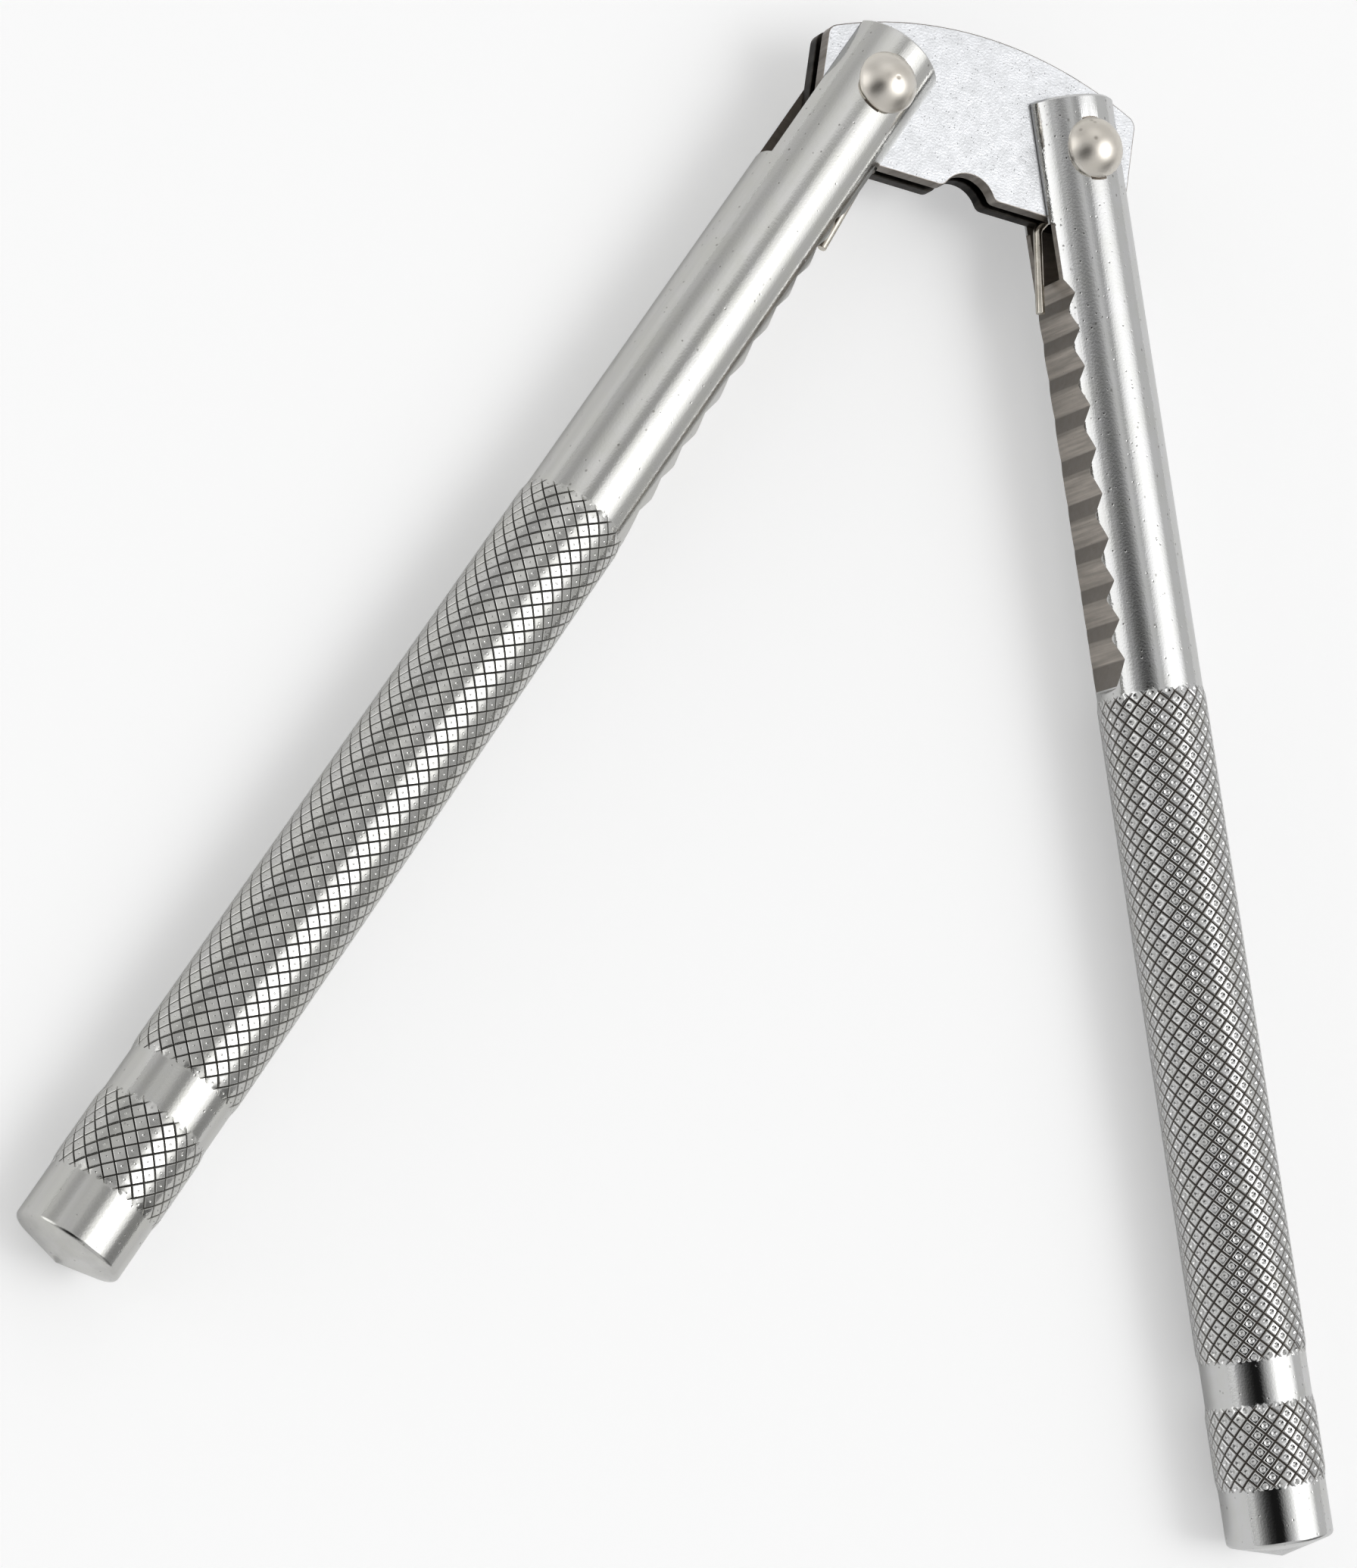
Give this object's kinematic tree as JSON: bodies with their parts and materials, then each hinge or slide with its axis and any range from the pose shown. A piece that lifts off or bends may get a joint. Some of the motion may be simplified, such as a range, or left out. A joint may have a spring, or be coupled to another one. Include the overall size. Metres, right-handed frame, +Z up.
{
  "type": "nutcracker",
  "caption": "Lever nutcracker: round knurled bar handles with toothed jaws, forked over a pair of riveted head plates and pushed open by a bent wire spring.",
  "frame": {"origin": "middle of the base of the whole tool at rest, lying on its back rivet heads", "axes": "+Z up, square to the head plates and along both rivets; +Y towards the head's arched top; +X from the left rivet to the right rivet"},
  "size_m": [0.1748, 0.1834, 0.0189],
  "materials": {
    "plated_bar": "plated steel bar, satin to bright, with a bare milled jaw",
    "head_plate": "zinc-bright mottled satin sheet",
    "rivet": "polished nickel",
    "spring_wire": "bright drawn wire"
  },
  "bodies": {
    "head": {"front_plate": "head_plate", "back_plate": "head_plate", "left_rivet": "rivet", "right_rivet": "rivet", "return_spring": "spring_wire"},
    "left_lever": {"left_handle": "plated_bar"},
    "right_lever": {"right_handle": "plated_bar"}
  },
  "joints": [
    {"name": "left_pivot", "type": "hinge", "parent": "head", "child": "left_lever", "pos_m": [-0.00362, 0.07985, 0.00945], "axis": [0, 0, 1], "range_deg": [-64.1, 28.5], "stiffness_Nm_per_rad": 0.4, "deforming": ["return_spring"]},
    {"name": "right_pivot", "type": "hinge", "parent": "head", "child": "right_lever", "pos_m": [0.02658, 0.07985, 0.00945], "axis": [0, 0, -1], "range_deg": [-72.2, 20.4], "stiffness_Nm_per_rad": 0.4, "deforming": ["return_spring"]}
  ]
}
